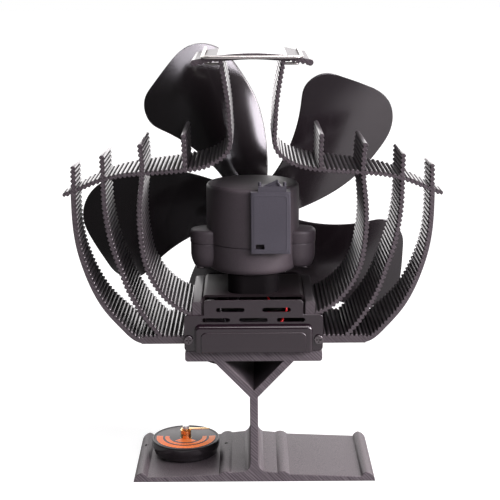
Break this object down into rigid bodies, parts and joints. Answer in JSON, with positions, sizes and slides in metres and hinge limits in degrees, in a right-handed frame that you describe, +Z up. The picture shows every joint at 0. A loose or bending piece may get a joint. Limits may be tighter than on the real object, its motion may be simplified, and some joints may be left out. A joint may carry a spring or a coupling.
{
  "type": "stove fan",
  "caption": "Heat-powered stove fan: finned extruded heat sink on a forked foot, motor housing, curved blades, wire handle and a magnetic thermometer.",
  "frame": {"origin": "middle of the foot's flat underside, on the surface that the fan stands on", "axes": "+Z up, +Y towards the side of the blades, +X to the right when looking along +Y at the louvred cover; the foot and heat sink are extruded along Y"},
  "size_m": [0.189, 0.0863, 0.2216],
  "materials": {
    "anodised_black": "satin",
    "black_sheet": "satin",
    "blade_metal": "satin",
    "housing_plastic": "satin",
    "black_steel": "satin",
    "bright_steel": "satin",
    "nickel_wire": "polished",
    "brass": "polished",
    "dial_print": "satin",
    "ceramic": "satin",
    "insulation": "matte",
    "red_insulation": "satin",
    "black_insulation": "satin",
    "copper": "satin",
    "magnet_iron": "satin"
  },
  "bodies": {
    "base": {"heat_collector_foot": "anodised_black", "thermal_pads": "insulation", "teg_ceramic_plates": "ceramic", "teg_elements": "copper", "insulation_gasket": "insulation", "clamp_washers": "bright_steel", "clamp_screws": "black_steel", "heat_sink": "anodised_black", "rear_cover": "black_sheet", "front_cover": "black_sheet", "cover_screws": "black_steel", "motor_bracket": "black_sheet", "bracket_screws": "black_steel", "motor_pedestal": "housing_plastic", "pedestal_screws": "black_steel", "housing_lower_shell": "housing_plastic", "housing_upper_shell": "housing_plastic", "housing_screws": "black_steel", "box_cover": "housing_plastic", "latch_tab": "housing_plastic", "motor_cradle": "insulation", "motor_can": "bright_steel", "motor_end_cap": "insulation", "motor_magnets": "magnet_iron", "front_bearing": "brass", "rear_bearing": "brass", "motor_brushes": "copper", "lead_wire_red": "red_insulation", "lead_wire_black": "black_insulation", "thermometer_cup": "black_steel", "thermometer_bezel": "nickel_wire", "thermometer_dial": "dial_print", "thermometer_magnet": "magnet_iron", "thermometer_post": "brass", "bimetal_coil": "bright_steel"},
    "wheel": {"motor_shaft": "bright_steel", "rotor_core": "magnet_iron", "rotor_windings": "copper", "commutator": "copper", "fan_blades": "blade_metal", "blade_hub": "brass", "hub_nut": "bright_steel"},
    "handle": {"handle_wire": "nickel_wire"},
    "pointer": {"thermometer_spindle": "bright_steel", "thermometer_pointer": "brass", "pointer_cap": "bright_steel"}
  },
  "joints": [
    {"name": "wheel_spin", "type": "hinge", "parent": "base", "child": "wheel", "pos_m": [0, 0.0333, 0.1319], "axis": [0, 1, 0], "continuous": true},
    {"name": "handle_fold", "type": "hinge", "parent": "base", "child": "handle", "pos_m": [0, 0.026, 0.21216], "axis": [-1, 0, 0], "range_deg": [0, 90]},
    {"name": "pointer_turn", "type": "hinge", "parent": "base", "child": "pointer", "pos_m": [-0.0371, 0.0042, 0.017], "axis": [0, 0, 1], "range_deg": [-200, 0]}
  ]
}
